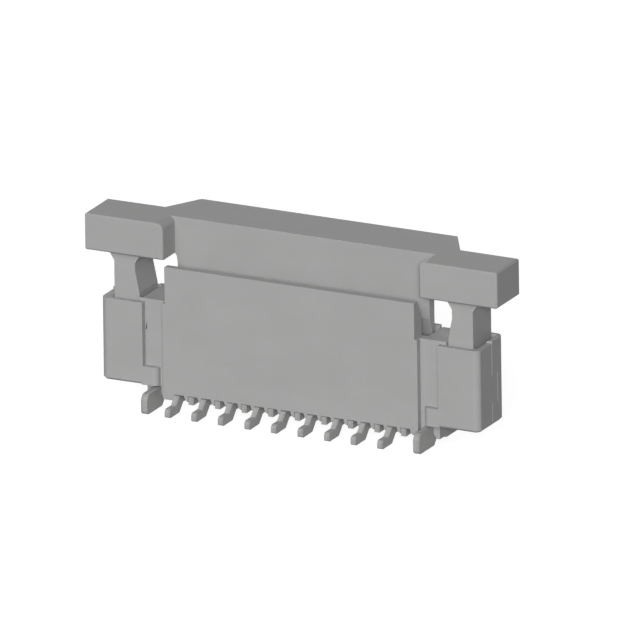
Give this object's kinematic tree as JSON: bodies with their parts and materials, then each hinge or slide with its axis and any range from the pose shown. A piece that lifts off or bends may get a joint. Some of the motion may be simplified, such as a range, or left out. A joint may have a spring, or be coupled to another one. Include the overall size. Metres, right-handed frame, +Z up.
{
  "type": "fpc connector",
  "caption": "Vertical surface-mount connector for a flat flexible cable, with staggered solder tails, two fitting nails and a push-down slider that locks the cable",
  "frame": {"origin": "middle of the footprint's bounding box, on the plane of the solder feet", "axes": "+X along the row of contacts, +Y from the front plate to the slider's rear lip, +Z up from the board, the way the cable leaves"},
  "size_m": [0.0156, 0.004, 0.0065],
  "materials": {
    "housing_resin": "fine matt moulded texture",
    "slider_resin": "fine satin moulded texture",
    "contact_metal": "dull tin plating over stamped copper alloy",
    "nail_metal": "dull tin plating over stamped copper alloy"
  },
  "bodies": {
    "connector_body": {"housing": "housing_resin", "contact_front_1": "contact_metal", "contact_front_2": "contact_metal", "contact_front_3": "contact_metal", "contact_front_4": "contact_metal", "contact_front_5": "contact_metal", "contact_front_6": "contact_metal", "contact_front_7": "contact_metal", "contact_front_8": "contact_metal", "contact_front_9": "contact_metal", "contact_rear_1": "contact_metal", "contact_rear_2": "contact_metal", "contact_rear_3": "contact_metal", "contact_rear_4": "contact_metal", "contact_rear_5": "contact_metal", "contact_rear_6": "contact_metal", "contact_rear_7": "contact_metal", "contact_rear_8": "contact_metal", "contact_rear_9": "contact_metal", "fitting_nail_left": "nail_metal", "fitting_nail_right": "nail_metal"},
    "slider": {"lock_slider": "slider_resin"}
  },
  "joints": [
    {"name": "slider_lock", "type": "slide", "parent": "connector_body", "child": "slider", "axis": [0, 0, 1], "range_m": [-0.00142, 0]}
  ]
}
